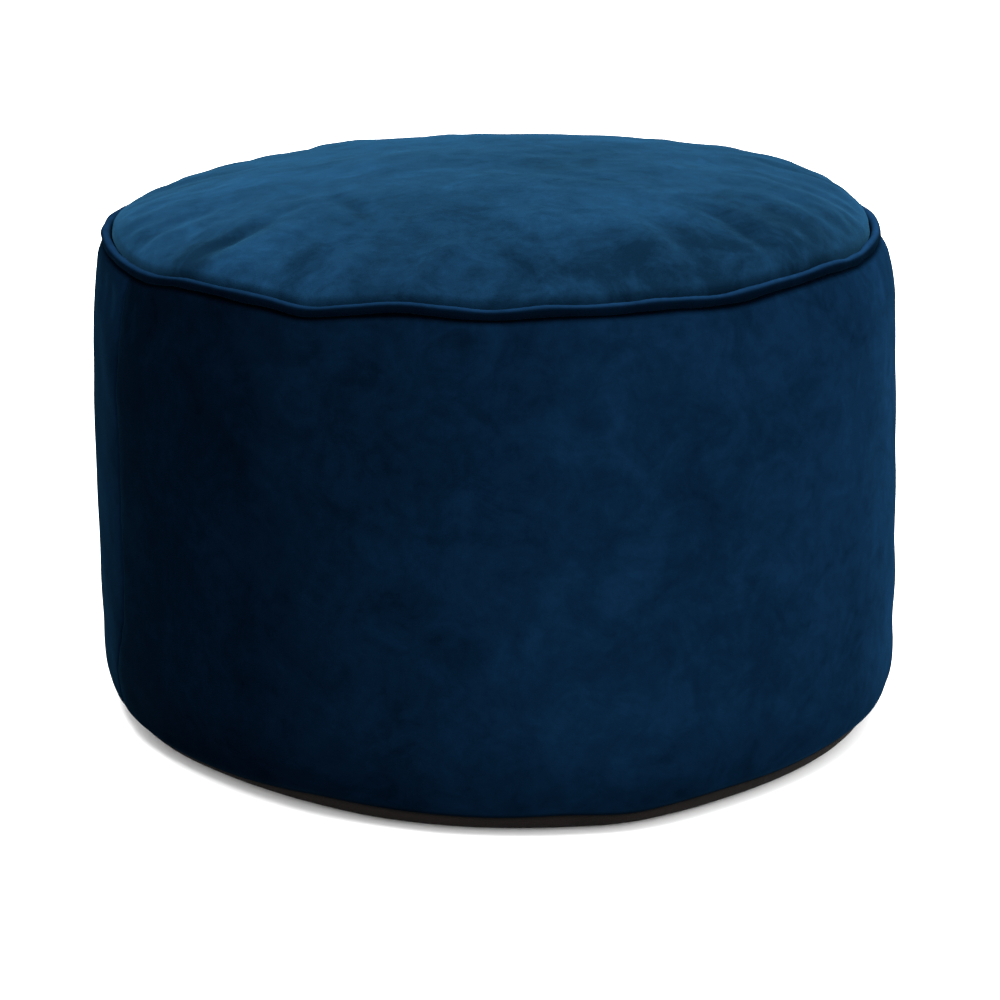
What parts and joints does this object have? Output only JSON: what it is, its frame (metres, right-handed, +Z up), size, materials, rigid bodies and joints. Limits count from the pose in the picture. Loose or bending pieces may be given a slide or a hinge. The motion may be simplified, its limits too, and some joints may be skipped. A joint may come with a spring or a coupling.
{
  "type": "bean bag footstool",
  "caption": "Round drum-shaped bean bag footstool in blue velvet, with a crowned top, a piped rim and a plain dark base.",
  "frame": {"origin": "on the floor under the middle of the stool", "axes": "+Z up along the stool's axis, +X to the right and -Y towards the front, with the side strip's upright seam to the left of the front"},
  "size_m": [0.5018, 0.5016, 0.3492],
  "materials": {
    "velvet": "soft short-pile velvet",
    "piping_velvet": "soft short-pile velvet over a cord",
    "base_cloth": "matt plain weave"
  },
  "bodies": {
    "root": {"filled_side_band": "velvet", "top_panel": "velvet", "piping": "piping_velvet", "base_panel": "base_cloth"}
  },
  "joints": []
}
